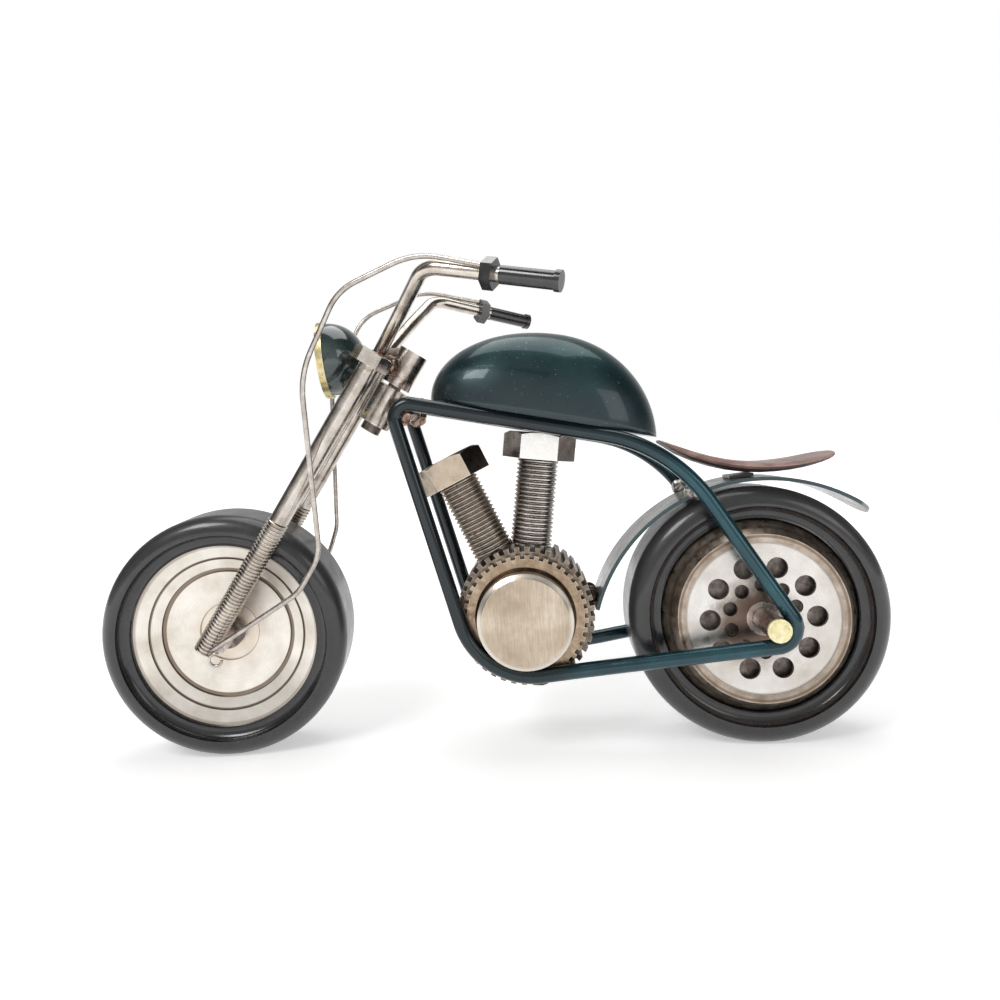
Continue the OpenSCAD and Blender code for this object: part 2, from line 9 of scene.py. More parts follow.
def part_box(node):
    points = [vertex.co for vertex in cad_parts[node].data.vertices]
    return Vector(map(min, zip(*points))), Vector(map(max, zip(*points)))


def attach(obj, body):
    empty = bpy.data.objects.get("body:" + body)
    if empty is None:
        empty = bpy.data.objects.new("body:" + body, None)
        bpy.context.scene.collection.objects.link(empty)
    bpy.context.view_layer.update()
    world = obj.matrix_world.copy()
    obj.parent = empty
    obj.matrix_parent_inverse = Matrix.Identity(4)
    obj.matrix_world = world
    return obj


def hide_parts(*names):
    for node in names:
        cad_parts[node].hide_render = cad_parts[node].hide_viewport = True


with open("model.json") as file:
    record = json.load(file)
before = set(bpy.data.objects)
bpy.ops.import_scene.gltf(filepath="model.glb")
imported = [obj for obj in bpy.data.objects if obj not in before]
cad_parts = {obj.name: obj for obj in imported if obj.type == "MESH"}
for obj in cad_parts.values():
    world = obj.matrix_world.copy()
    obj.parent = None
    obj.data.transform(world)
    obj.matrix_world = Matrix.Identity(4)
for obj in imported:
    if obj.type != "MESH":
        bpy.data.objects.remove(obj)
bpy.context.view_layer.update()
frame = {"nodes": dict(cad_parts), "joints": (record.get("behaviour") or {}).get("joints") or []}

MM = 0.001
MIDDLE_Y = -2.9          # the bike's middle plane, in millimetres
RAIL_SLOPE = 0.222       # how far the upper rails drop for each unit of length
SIDEWAYS = (0.0, 1.0, 0.0)
BACKWARDS = (1.0, 0.0, 0.0)

CAMERA_AT = Vector((18.06, -213.36, 85.89)) * MM
CAMERA_RIGHT = (0.9955, 0.0749, -0.0580)
CAMERA_BACK = (0.0749, -0.9972, -0.0020)
LENS = 26.13
SENSOR = 36
SHIFT = (0.0176, -0.058)

ROOM_STRENGTH = 0.75
ROOM_ENDS = ((0.95, 0.94, 0.93), (1.0, 1.0, 1.0))
ROOM_STOPS = ((0.22, 0.42), (0.42, 0.08), (0.64, 0.10), (0.82, 0.55))
FLOOR_RADIUS = 6.0
FLOOR_DROP = 0.05 * MM
FLOOR_GLOW = (0.42, 1.0)          # near the bike and far from it
FLOOR_GLOW_REACH = (120.0, 700.0)  # the distances between which it rises, in millimetres


# ---------- camera, floor and light ----------

def look_through():
    """The camera stands on the bike's left, a little behind its middle, level with the bolt heads."""
    data = bpy.data.cameras.new("camera")
    data.lens = LENS
    data.sensor_width = SENSOR
    data.shift_x, data.shift_y = SHIFT
    data.clip_start = 0.005
    data.clip_end = 20
    cam = bpy.data.objects.new("camera", data)
    bpy.context.scene.collection.objects.link(cam)
    right = Vector(CAMERA_RIGHT).normalized()
    back = Vector(CAMERA_BACK)
    back = (back - right * back.dot(right)).normalized()
    up = back.cross(right)
    turn = Matrix((right, up, back)).transposed().to_4x4()
    cam.matrix_world = Matrix.Translation(CAMERA_AT) @ turn
    bpy.context.scene.camera = cam


def soft_box(name, place, target, size, power):
    """A rectangular light at place that shines towards target."""
    data = bpy.data.lights.new(name, "AREA")
    data.shape = "RECTANGLE"
    data.size, data.size_y = size
    data.energy = power
    lamp = bpy.data.objects.new(name, data)
    bpy.context.scene.collection.objects.link(lamp)
    lamp.location = place
    lamp.rotation_mode = "QUATERNION"
    lamp.rotation_quaternion = (Vector(target) - lamp.location).to_track_quat("-Z", "Y")


def room():
    """A room bright at both sides of the bike, dark at its ends and overhead, and white to the camera."""
    world = bpy.data.worlds.new("studio")
    bpy.context.scene.world = world
    world.use_nodes = True
    tree = world.node_tree
    tree.nodes.clear()
    out = tree.nodes.new("ShaderNodeOutputWorld")
    seen = tree.nodes.new("ShaderNodeBackground")
    seen.inputs["Color"].default_value = (1, 1, 1, 1)
    seen.inputs["Strength"].default_value = 1.0
    lit = tree.nodes.new("ShaderNodeBackground")
    lit.inputs["Strength"].default_value = ROOM_STRENGTH
    path = tree.nodes.new("ShaderNodeLightPath")
    mix = tree.nodes.new("ShaderNodeMixShader")
    where = tree.nodes.new("ShaderNodeTexCoord")
    split = tree.nodes.new("ShaderNodeSeparateXYZ")
    ramp = tree.nodes.new("ShaderNodeValToRGB")
    spread = tree.nodes.new("ShaderNodeMapRange")
    spread.inputs["From Min"].default_value = -1.0
    spread.inputs["From Max"].default_value = 1.0
    link = tree.links.new
    link(where.outputs["Generated"], split.inputs[0])
    link(split.outputs["Y"], spread.inputs["Value"])
    link(spread.outputs[0], ramp.inputs["Fac"])
    stops = ramp.color_ramp.elements
    stops[0].position, stops[0].color = 0.0, (*ROOM_ENDS[0], 1)
    stops[1].position, stops[1].color = 1.0, (*ROOM_ENDS[1], 1)
    for where_to, grey in ROOM_STOPS:
        stops.new(where_to).color = (grey, grey, grey, 1)
    link(ramp.outputs["Color"], lit.inputs["Color"])
    link(path.outputs["Is Camera Ray"], mix.inputs["Fac"])
    link(lit.outputs[0], mix.inputs[1])
    link(seen.outputs[0], mix.inputs[2])
    link(mix.outputs[0], out.inputs["Surface"])


def studio():
    """The room, three soft lights and a pale glowing floor that still takes a faint shadow."""
    scene = bpy.context.scene
    scene.view_settings.view_transform = "Standard"
    scene.view_settings.look = "None"
    room()
    soft_box("key", (-0.35, -0.45, 0.62), (0.0, 0.0, 0.05), (0.30, 0.26), 2.4)
    soft_box("top", (0.06, 0.10, 0.75), (0.0, 0.0, 0.05), (0.70, 0.50), 2.6)
    soft_box("fill", (0.55, -0.50, 0.30), (0.03, 0.0, 0.05), (0.30, 0.30), 0.5)

    mesh = bpy.data.meshes.new("floor")
    form = bmesh.new()
    bmesh.ops.create_circle(form, cap_ends=True, radius=FLOOR_RADIUS, segments=96)
    form.to_mesh(mesh)
    form.free()
    floor = bpy.data.objects.new("floor", mesh)
    floor.location.z = -FLOOR_DROP
    scene.collection.objects.link(floor)
    mat, net = material("floor_pale")
    net.bsdf.inputs["Base Color"].default_value = (0.90, 0.90, 0.90, 1)
    net.bsdf.inputs["Roughness"].default_value = 0.6
    net.bsdf.inputs["Specular IOR Level"].default_value = 0.2
    net.bsdf.inputs["Emission Color"].default_value = (1, 1, 1, 1)
    away = net.vector("LENGTH", net.place(), out=1)
    net.put(net.bsdf.inputs["Emission Strength"], net.step(away, *FLOOR_GLOW_REACH, *FLOOR_GLOW))
    mesh.materials.append(mat)


# ---------- material building blocks ----------

class Net:
    """A material's node tree, with short calls for the nodes used here. Lengths in it are millimetres."""

    def __init__(self, tree):
        self.tree = tree
        self.bsdf = tree.nodes["Principled BSDF"]
        self._place = None

    def node(self, kind, **settings):
        made = self.tree.nodes.new(kind)
        for key, value in settings.items():
            setattr(made, key, value)
        return made

    def link(self, source, target):
        self.tree.links.new(source, target)

    def put(self, socket, value):
        if isinstance(value, bpy.types.NodeSocket):
            self.link(value, socket)
        else:
            socket.default_value = value

    def place(self):
        if self._place is None:
            coords = self.node("ShaderNodeTexCoord")
            scale = self.node("ShaderNodeVectorMath", operation="SCALE")
            self.link(coords.outputs["Object"], scale.inputs[0])
            scale.inputs["Scale"].default_value = 1 / MM
            self._place = scale.outputs[0]
        return self._place

    def math(self, operation, *values):
        made = self.node("ShaderNodeMath", operation=operation)
        for socket, value in zip(made.inputs, values):
            self.put(socket, value)
        return made.outputs[0]

    def vector(self, operation, *values, out=0):
        made = self.node("ShaderNodeVectorMath", operation=operation)
        for socket, value in zip(made.inputs, values):
            self.put(socket, value)
        return made.outputs[out]

    def noise(self, size, detail=3.0, rough=0.55, stretch=(1, 1, 1), shift=(0, 0, 0)):
        """Noise from 0 to 1 whose blots are about size across, drawn out by stretch."""
        point = self.vector("MULTIPLY", self.place(), tuple(1 / (size * s) for s in stretch))
        if any(shift):
            point = self.vector("ADD", point, shift)
        made = self.node("ShaderNodeTexNoise")
        self.link(point, made.inputs["Vector"])
        made.inputs["Scale"].default_value = 1.0
        made.inputs["Detail"].default_value = detail
        made.inputs["Roughness"].default_value = rough
        return made.outputs["Fac"]

    def step(self, value, low, high, floor=0.0, top=1.0):
        """Rises smoothly from floor to top as value goes from low to high."""
        made = self.node("ShaderNodeMapRange", interpolation_type="SMOOTHSTEP")
        self.put(made.inputs["Value"], value)
        made.inputs["From Min"].default_value = low
        made.inputs["From Max"].default_value = high
        made.inputs["To Min"].default_value = floor
        made.inputs["To Max"].default_value = top
        return made.outputs[0]

    def ramp(self, value, stops):
        made = self.node("ShaderNodeValToRGB")
        self.put(made.inputs["Fac"], value)
        ends = made.color_ramp.elements
        ends[0].position, ends[0].color = stops[0][0], (*stops[0][1], 1)
        ends[1].position, ends[1].color = stops[-1][0], (*stops[-1][1], 1)
        for where, colour in stops[1:-1]:
            ends.new(where).color = (*colour, 1)
        return made.outputs["Color"]

    def mix(self, share, low, high):
        made = self.node("ShaderNodeMix", data_type="RGBA")
        self.put(made.inputs["Factor"], share)
        for key, value in (("A", low), ("B", high)):
            socket = [s for s in made.inputs if s.name == key and s.type == "RGBA"][0]
            self.put(socket, value if isinstance(value, bpy.types.NodeSocket) else (*value, 1))
        return [s for s in made.outputs if s.type == "RGBA"][0]

    def edges(self, radius, low=0.02, high=0.25):
        """1 on sharp edges, fading to 0 over about radius."""
        rounded = self.node("ShaderNodeBevel", samples=4)
        rounded.inputs["Radius"].default_value = radius * MM
        shape = self.node("ShaderNodeNewGeometry")
        near = self.vector("DOT_PRODUCT", rounded.outputs[0], shape.outputs["Normal"], out=1)
        return self.step(self.math("SUBTRACT", 1.0, near), low, high)

    def radius(self, centre, axis):
        """Distance from a line through centre along axis."""
        away = self.vector("SUBTRACT", self.place(), tuple(c / MM for c in centre))
        across = self.vector("CROSS_PRODUCT", away, tuple(axis))
        return self.vector("LENGTH", across, out=1)

    def facing(self, direction):
        """How far the surface faces direction, from -1 to 1."""
        shape = self.node("ShaderNodeNewGeometry")
        return self.vector("DOT_PRODUCT", shape.outputs["Normal"], direction, out=1)

    def band(self, value, middle, half, soft):
        """1 where value lies within half of middle."""
        off = self.math("ABSOLUTE", self.math("SUBTRACT", value, middle))
        return self.math("SUBTRACT", 1.0, self.step(off, max(half - soft, 0.0), half + soft))

    def bump(self, height, depth):
        made = self.node("ShaderNodeBump")
        made.inputs["Strength"].default_value = 1.0
        made.inputs["Distance"].default_value = depth * MM
        self.put(made.inputs["Height"], height)
        self.link(made.outputs[0], self.bsdf.inputs["Normal"])

    def shine(self, coat, coat_rough):
        self.bsdf.inputs["Coat Weight"].default_value = coat
        self.bsdf.inputs["Coat Roughness"].default_value = coat_rough


def material(name):
    mat = bpy.data.materials.new(name)
    mat.use_nodes = True
    return mat, Net(mat.node_tree)


def give(mat, *nodes):
    """Puts a material on CAD nodes, in every slot that they have."""
    for name in nodes:
        node = frame["nodes"][name]
        for place in node.material_slots:
            place.material = mat
        if not node.material_slots:
            node.data.materials.append(mat)


GRAIN = 0.35         # size of bare metal's fine grain
RUBBED_RADIUS = 0.35  # how far wear reaches from a painted edge


def steel(name, dark, mid, light, patina=None, patina_share=0.5, rough=(0.22, 0.45), blot=6.0,
          grain_depth=0.012, edge=None, edge_radius=0.35, metallic=1.0, extra=None, pits=0.0):
    """Worn bare metal: blotchy tone, patina, fine grain, and brighter edges, partly rubbed bright and partly
    a painted highlight.
    """
    mat, net = material(name)
    tone = net.noise(blot, 4.0, 0.6)
    colour = net.ramp(tone, [(0.30, dark), (0.50, mid), (0.70, light)])
    if patina:
        spots = net.noise(blot * 1.7, 5.0, 0.65, shift=(7.3, 2.1, 4.4))
        spread = net.step(spots, 0.62 - 0.25 * patina_share, 0.72 - 0.1 * patina_share)
        colour = net.mix(spread, colour, patina)
    if pits:
        specks = net.noise(0.9, 2.0, 0.5, shift=(3.0, 9.0, 1.0))
        darker = tuple(0.35 * c for c in dark)
        colour = net.mix(net.step(specks, 0.66, 0.74, 0.0, pits), colour, darker)
    if extra:
        colour = extra(net, colour)
    # lighter edges, partly rubbed bright and partly a painted highlight
    if edge:
        colour = net.mix(net.edges(edge_radius), colour, edge)
    net.put(net.bsdf.inputs["Base Color"], colour)
    net.bsdf.inputs["Metallic"].default_value = metallic
    fine = net.noise(GRAIN, 3.0, 0.6)
    smear = net.noise(blot * 0.6, 3.0, 0.5, shift=(1.0, 5.0, 2.0))
    uneven = net.math("ADD", net.math("MULTIPLY", fine, 0.35), net.math("MULTIPLY", smear, 0.65))
    net.put(net.bsdf.inputs["Roughness"], net.step(uneven, 0.32, 0.68, *rough))
    net.bump(fine, grain_depth)
    return mat


def paint(name, low, mid, high, rough=(0.10, 0.22), blot=9.0, wear=None, coat=0.6, dust=None,
          dust_share=0.15, peel=0.01, extra=None, metallic=0.0):
    """Glossy paint: soft tone changes, orange peel, fine specks and rubbed edges."""
    mat, net = material(name)
    tone = net.noise(blot, 3.0, 0.5)
    colour = net.ramp(tone, [(0.32, low), (0.50, mid), (0.70, high)])
    if dust:
        specks = net.noise(0.55, 2.0, 0.5, shift=(4.0, 4.0, 8.0))
        colour = net.mix(net.step(specks, 0.69, 0.76, 0.0, dust_share), colour, dust)
    if extra:
        colour = extra(net, colour)
    if wear:
        rub = net.math("MULTIPLY", net.edges(RUBBED_RADIUS), net.step(net.noise(2.2, 3.0), 0.42, 0.62))
        colour = net.mix(rub, colour, wear)
    net.put(net.bsdf.inputs["Base Color"], colour)
    smear = net.noise(blot * 0.5, 4.0, 0.6, shift=(2.0, 0.0, 6.0))
    net.put(net.bsdf.inputs["Roughness"], net.step(smear, 0.3, 0.7, *rough))
    net.bsdf.inputs["Metallic"].default_value = metallic
    net.shine(coat, 0.06)
    net.bump(net.noise(1.6, 2.0, 0.5), peel)
    return mat


# ---------- pieces that stand for CAD nodes ----------

def piece(name, form, body, slot, mat, *nodes):
    """Makes a smooth mesh that stands for CAD nodes and moves with their body."""
    mesh = bpy.data.meshes.new(name)
    form.normal_update()
    form.to_mesh(mesh)
    form.free()
    mesh.polygons.foreach_set("use_smooth", [True] * len(mesh.polygons))
    made = bpy.data.objects.new(name, mesh)
    bpy.context.scene.collection.objects.link(made)
    mesh.materials.append(mat)
    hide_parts(*nodes)
    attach(made, body)


def loft(rings):
    """A closed skin over rings of equal length, with both ends capped to a middle point."""
    form = bmesh.new()
    rows = [[form.verts.new(p) for p in ring] for ring in rings]
    count = len(rows[0])
    for a, b in zip(rows, rows[1:]):
        for j in range(count):
            k = (j + 1) % count
            form.faces.new((a[j], a[k], b[k], b[j]))
    for row, flip in ((rows[0], True), (rows[-1], False)):
        middle = form.verts.new(sum((v.co for v in row), Vector()) / count)
        for j in range(count):
            k = (j + 1) % count
            corners = (row[j], row[k], middle)
            form.faces.new(tuple(reversed(corners)) if flip else corners)
    bmesh.ops.recalc_face_normals(form, faces=form.faces)
    return form


def power(value, exponent):
    """A power that keeps the value's sign."""
    return math.copysign(abs(value) ** exponent, value)


def arch(t, exponent):
    """Height of a rounded arch that is 1 at t = 0 and comes down to 0 at t = 1."""
    return (1 - t ** exponent) ** (1 / exponent)


DOME_HEIGHT = 25.2 * MM  # from the tank's lower edge to its top
DOME_PEAK = 0.6          # share of the tank's length, from its front, at which it is highest
DOME_STEPS = 72
DOME_ROUND_STEPS = 64
DOME_SQUARENESS = 0.85   # 1 would make each cross-section a half ellipse


def tank_form():
    """The dome over the rails: a smooth arch lengthways and across, closed underneath."""
    low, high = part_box("fuel_tank")
    front, length = low.x, high.x - low.x
    half, mid = (high.y - low.y) / 2, (high.y + low.y) / 2
    rings = []
    for i in range(DOME_STEPS + 1):
        t = 0.5 - 0.4985 * math.cos(math.pi * i / DOME_STEPS)
        if t < DOME_PEAK:
            rise = arch((DOME_PEAK - t) / DOME_PEAK, 1.9)
        else:
            rise = arch((t - DOME_PEAK) / (1 - DOME_PEAK), 2.15)
        wide = half * arch(abs(2 * t - 1), 2.6)
        base = low.z + RAIL_SLOPE * length * (1 - t)
        ring = []
        for j in range(DOME_ROUND_STEPS + 1):
            a = math.pi * j / DOME_ROUND_STEPS
            ring.append((front + length * t,
                         mid + wide * power(math.cos(a), DOME_SQUARENESS),
                         base + DOME_HEIGHT * rise * math.sin(a) ** DOME_SQUARENESS))
        rings.append(ring)
    return loft(rings)


def lumpy(form, depth, size, seed):
    """Pushes every point in or out a little, as a weld's skin has set."""
    form.normal_update()
    shift = Vector((seed, seed, 0))
    moves = [v.normal * depth * noise.noise(v.co / size + shift) for v in form.verts]
    for v, move in zip(form.verts, moves):
        v.co += move
    return form


def refined(node, cell, depth, size, seed):
    """A CAD weld's own surface, remeshed finely and made uneven."""
    source = frame["nodes"][node]
    copy = bpy.data.objects.new("scratch", source.data.copy())
    bpy.context.scene.collection.objects.link(copy)
    copy.modifiers.clear()
    mod = copy.modifiers.new("remesh", "REMESH")
    mod.mode = "VOXEL"
    mod.voxel_size = cell
    graph = bpy.context.evaluated_depsgraph_get()
    graph.update()
    shape = bpy.data.meshes.new_from_object(copy.evaluated_get(graph))
    form = bmesh.new()
    form.from_mesh(shape)
    bpy.data.objects.remove(copy)
    bpy.data.meshes.remove(shape)
    return lumpy(form, depth, size, seed)


# ---------- places on the bike ----------

def leaning(degrees):
    """A line's direction when it leans back by some degrees from upright."""
    lean = math.radians(degrees)
    return Vector((math.sin(lean), 0.0, math.cos(lean)))


def turning(joint):
    """The centre and the direction of a joint's axis."""
    found = [j for j in frame["joints"] if j["name"] == joint][0]
    return Vector(found["pos_m"]), Vector(found["axis"]).normalized()


FRONT_AXLE, FRONT_AXIS = turning("front_wheel_spin")
REAR_AXLE, REAR_AXIS = turning("rear_wheel_spin")
ENGINE = Vector((12.2, MIDDLE_Y, 37.8)) * MM
FRONT_NECK = Vector((-5.6, MIDDLE_Y, 75.2)) * MM
FRONT_LEAN = leaning(-24.5)
REAR_NECK = Vector((18.1, MIDDLE_Y, 80.5)) * MM
REAR_LEAN = leaning(8.2)
THREAD_ROOT, THREAD_CREST = 5.25, 5.85
HEAD_START, HEAD_FULL = 6.3, 6.9  # a cylinder bolt's head is all that lies beyond these radii
WELD_FOOT = 19.9 * MM

look_through()
studio()


# ---------- frame and tank ----------

def loop_tone(net, colour):
    """The rods turn from black at the neck to petrol along the rear runs."""
    along = net.vector("DOT_PRODUCT", net.place(), (1.0, 0.0, -0.35), out=1)
    ragged = net.math("ADD", along, net.math("MULTIPLY", net.noise(18.0, 3.0), 50.0))
    return net.mix(net.step(ragged, 75.0, 10.0, 0.0, 0.92), colour, (0.005, 0.009, 0.011))


def tank_tone_and_sheen(net, colour):
    """The dome is greener on top and greyer towards its lower edge, where the grey is a painted highlight.
    """
    height = net.vector("DOT_PRODUCT", net.place(), (RAIL_SLOPE, 0.0, 1.0), out=1)
    ragged = net.math("ADD", height, net.math("MULTIPLY", net.noise(9.0, 3.0), 4.0))
    # painted highlight: greyer towards the lower edge
    grey = net.step(ragged, 118.0, 99.0)
    return net.mix(net.math("MULTIPLY", grey, 0.55), colour, (0.034, 0.040, 0.047))


petrol = paint("petrol_paint", (0.004, 0.030, 0.041), (0.007, 0.050, 0.067), (0.014, 0.086, 0.108),
               wear=(0.08, 0.19, 0.21), blot=14.0, coat=0.6, rough=(0.18, 0.32), extra=loop_tone,
               metallic=0.6)
give(petrol, "frame_loop_left", "frame_loop_right")
tank_mat = paint("tank_paint", (0.004, 0.024, 0.028), (0.007, 0.037, 0.042), (0.012, 0.054, 0.058),
                 blot=16.0, coat=0.4, rough=(0.26, 0.40), dust=(0.5, 0.55, 0.55), dust_share=0.5,
                 extra=tank_tone_and_sheen, peel=0.02, metallic=0.55)


# ---------- neck, fork, bars and axles ----------

neck = steel("neck_metal", (0.36, 0.31, 0.27), (0.52, 0.46, 0.41), (0.66, 0.61, 0.55),
             patina=(0.20, 0.13, 0.09), patina_share=0.2, rough=(0.16, 0.34), blot=4.0,
             edge=(0.80, 0.75, 0.68))
give(neck, "head_tube", "steering_collar")
dark_steel = steel("dark_metal", (0.10, 0.08, 0.07), (0.17, 0.14, 0.12), (0.26, 0.22, 0.19),
                   rough=(0.3, 0.5), blot=3.0, edge=(0.4, 0.36, 0.32))
give(dark_steel, "neck_crossbar", "headlight_bracket", "pivot_pin")
bars = steel("bar_nickel", (0.44, 0.38, 0.33), (0.58, 0.52, 0.46), (0.72, 0.67, 0.60),
             patina=(0.28, 0.20, 0.14), patina_share=0.1, rough=(0.14, 0.28), blot=5.0,
             grain_depth=0.003)
give(bars, "handlebar_left", "handlebar_right")
legs = steel("leg_metal", (0.36, 0.31, 0.27), (0.52, 0.47, 0.42), (0.68, 0.63, 0.58),
             patina=(0.24, 0.17, 0.12), patina_share=0.2, rough=(0.14, 0.30), blot=4.5,
             edge=(0.82, 0.78, 0.72), edge_radius=0.25)
give(legs, "fork_leg_left", "fork_leg_right")
wire = steel("cable_metal", (0.38, 0.34, 0.31), (0.50, 0.46, 0.42), (0.66, 0.62, 0.58),
             rough=(0.20, 0.36), blot=3.0, grain_depth=0.002)
give(wire, "brake_cable_left", "brake_cable_right", "cable_hooks")
axle = steel("axle_metal", (0.38, 0.31, 0.29), (0.54, 0.45, 0.43), (0.68, 0.60, 0.57),
             patina=(0.25, 0.17, 0.13), patina_share=0.25, rough=(0.2, 0.36), blot=3.0)
give(axle, "rear_axle", "front_axle")
cap = steel("cap_brass", (0.70, 0.60, 0.30), (0.84, 0.76, 0.46), (0.93, 0.88, 0.64),
            patina=(0.40, 0.33, 0.18), patina_share=0.05, rough=(0.3, 0.45), blot=1.6,
            metallic=0.75, pits=0.8)
give(cap, "axle_caps")
black = paint("black_paint", (0.006, 0.006, 0.006), (0.010, 0.010, 0.010), (0.020, 0.019, 0.018),
              blot=3.0, coat=0.8, wear=(0.10, 0.09, 0.08), rough=(0.14, 0.3))
give(black, "bar_nuts", "grip_left", "grip_right")


# ---------- engine ----------

def cover_tone(net, colour):
    """Faint straight brushing on the cover's face, and a painted highlight on its rim."""
    lines = net.noise(0.5, 2.0, 0.5, (0.6, 1.0, 9.0), (2.0, 1.0, 0.0))
    colour = net.mix(net.step(lines, 0.35, 0.65, 0.0, 0.30), colour, (0.30, 0.23, 0.165))
    # painted highlight round the cover's rim
    rim = net.step(net.radius(ENGINE, SIDEWAYS), 11.4, 12.4, 0.0, 0.6)
    return net.mix(rim, colour, (0.95, 0.90, 0.82))


def bolt_tone(neck_at, lean, valley_shade, face_highlight, face_highlight_share, dark):
    """Painted shade fills the thread's valleys. The head's two broad faces get a painted highlight, and its
    rear ones painted shade.
    """
    def tone(net, colour):
        out = net.radius(neck_at, lean)
        # painted shade in the thread's valleys
        valley = net.step(out, THREAD_CREST, THREAD_ROOT)
        colour = net.mix(net.math("MULTIPLY", valley, 0.92), colour, valley_shade)
        head = net.step(out, HEAD_START, HEAD_FULL)
        side = net.math("ABSOLUTE", net.facing(SIDEWAYS))
        # painted highlight on the head's broad faces
        highlit_faces = net.math("MULTIPLY", net.step(side, 0.80, 0.95), head)
        # painted shade on the head's rear faces
        rear = net.math("MULTIPLY", net.step(net.facing(BACKWARDS), 0.45, 0.70), head)
        colour = net.mix(net.math("MULTIPLY", highlit_faces, face_highlight_share), colour, face_highlight)
        return net.mix(net.math("MULTIPLY", rear, 0.9), colour, dark)
    return tone


gear = steel("gear_metal", (0.12, 0.09, 0.07), (0.24, 0.195, 0.155), (0.40, 0.345, 0.29),
             patina=(0.07, 0.05, 0.035), patina_share=0.4, rough=(0.28, 0.5), blot=3.0,
             edge=(0.58, 0.50, 0.40), edge_radius=0.3)
give(gear, "engine_gear")
ring = steel("ring_metal", (0.24, 0.17, 0.115), (0.36, 0.27, 0.19), (0.50, 0.40, 0.30),
             patina=(0.20, 0.13, 0.08), patina_share=0.3, rough=(0.24, 0.42), blot=2.6,
             edge=(0.86, 0.78, 0.64), edge_radius=0.25)
give(ring, "toothed_ring_left", "toothed_ring_right")
spacer = steel("spacer_metal", (0.05, 0.035, 0.025), (0.10, 0.07, 0.05), (0.18, 0.13, 0.09),
               rough=(0.32, 0.5), blot=2.5, edge=(0.34, 0.27, 0.20))
give(spacer, "engine_spacer_left", "engine_spacer_right")
cover = steel("cover_metal", (0.42, 0.34, 0.26), (0.54, 0.45, 0.35), (0.68, 0.59, 0.48),
              rough=(0.28, 0.42), blot=9.0, extra=cover_tone, edge=(0.97, 0.94, 0.88),
              edge_radius=0.4)
give(cover, "engine_cover_left", "engine_cover_right")
front_bolt = steel("front_bolt_metal", (0.26, 0.20, 0.15), (0.42, 0.34, 0.26), (0.58, 0.49, 0.40),
                   patina=(0.13, 0.09, 0.06), patina_share=0.35, rough=(0.26, 0.46), blot=3.5,
                   pits=0.5, edge=(0.86, 0.80, 0.70), edge_radius=0.5,
                   # painted shade in the thread's valleys, painted highlight on the broad head faces,
                   # painted shade on the rear ones
                   extra=bolt_tone(FRONT_NECK, FRONT_LEAN, (0.035, 0.025, 0.02),
                                   (0.66, 0.55, 0.43), 0.6, (0.055, 0.042, 0.034)))
give(front_bolt, "front_cylinder_bolt")
rear_bolt = steel("rear_bolt_metal", (0.36, 0.31, 0.27), (0.55, 0.50, 0.46), (0.74, 0.70, 0.66),
                  patina=(0.17, 0.12, 0.09), patina_share=0.15, rough=(0.2, 0.38), blot=4.5,
                  edge=(0.90, 0.87, 0.82), edge_radius=0.45,
                  # painted shade in the thread's valleys, painted highlight on the broad head faces, painted
                  # shade on the rear ones
                  extra=bolt_tone(REAR_NECK, REAR_LEAN, (0.035, 0.027, 0.023),
                                  (1.0, 0.98, 0.95), 0.92, (0.075, 0.055, 0.045)))
give(rear_bolt, "rear_cylinder_bolt")


# ---------- headlight ----------

brass = steel("lamp_brass", (0.56, 0.45, 0.20), (0.74, 0.63, 0.34), (0.88, 0.80, 0.54),
              rough=(0.22, 0.36), blot=3.0, grain_depth=0.002, edge=(0.96, 0.90, 0.68))
give(brass, "headlight_rim")
face = steel("lamp_face", (0.55, 0.56, 0.55), (0.70, 0.71, 0.70), (0.84, 0.85, 0.83),
             rough=(0.12, 0.3), blot=4.0)
give(face, "headlight_face")
lamp = paint("lamp_paint", (0.010, 0.020, 0.020), (0.016, 0.034, 0.034), (0.028, 0.052, 0.050),
             blot=5.0, coat=1.0, wear=(0.10, 0.12, 0.11), rough=(0.12, 0.24))
give(lamp, "headlight_shell")


# ---------- seat and fender ----------

def seat_tone(net, colour):
    """Rubbed dusty rose on top, and painted shade towards the underside."""
    underside_shade = net.step(net.facing((0.0, 0.0, 1.0)), -0.05, -0.65)
    rubbed = net.step(net.noise(3.0, 4.0, 0.6, (4.0, 1.0, 1.0)), 0.42, 0.66, 0.0, 0.6)
    colour = net.mix(rubbed, colour, (0.46, 0.31, 0.27))
    # painted shade on faces that turn downwards
    return net.mix(underside_shade, colour, (0.035, 0.02, 0.018))


def fender_tone(net, colour):
    """The fender's two edges are dark petrol, and its face is clouded."""
    side = net.vector("DOT_PRODUCT", net.place(), SIDEWAYS, out=1)
    across = net.math("ABSOLUTE", net.math("ADD", side, -MIDDLE_Y))
    clouds = net.step(net.noise(7.0, 4.0, 0.6, shift=(3.0, 7.0, 1.0)), 0.42, 0.62, 0.0, 0.5)
    colour = net.mix(clouds, colour, (0.13, 0.14, 0.135))
    return net.mix(net.step(across, 7.0, 7.7), colour, (0.012, 0.042, 0.048))


seat_mat = paint("seat_paint", (0.16, 0.085, 0.070), (0.25, 0.140, 0.115), (0.36, 0.225, 0.195),
                 blot=7.0, coat=0.15, rough=(0.35, 0.5), extra=seat_tone, peel=0.02)
give(seat_mat, "seat")
bracket = paint("bracket_paint", (0.02, 0.016, 0.014), (0.035, 0.028, 0.024), (0.06, 0.05, 0.04),
                blot=3.0, coat=0.3, rough=(0.3, 0.5))
give(bracket, "seat_bracket")
fender = paint("fender_paint", (0.20, 0.185, 0.165), (0.27, 0.255, 0.23), (0.36, 0.34, 0.31),
               blot=8.0, coat=0.35, rough=(0.22, 0.38), extra=fender_tone)
give(fender, "rear_fender")


# ---------- wheels ----------

TREAD_START, TREAD_FULL = 30.2, 33.8  # the tyre turns greyer and duller between these radii


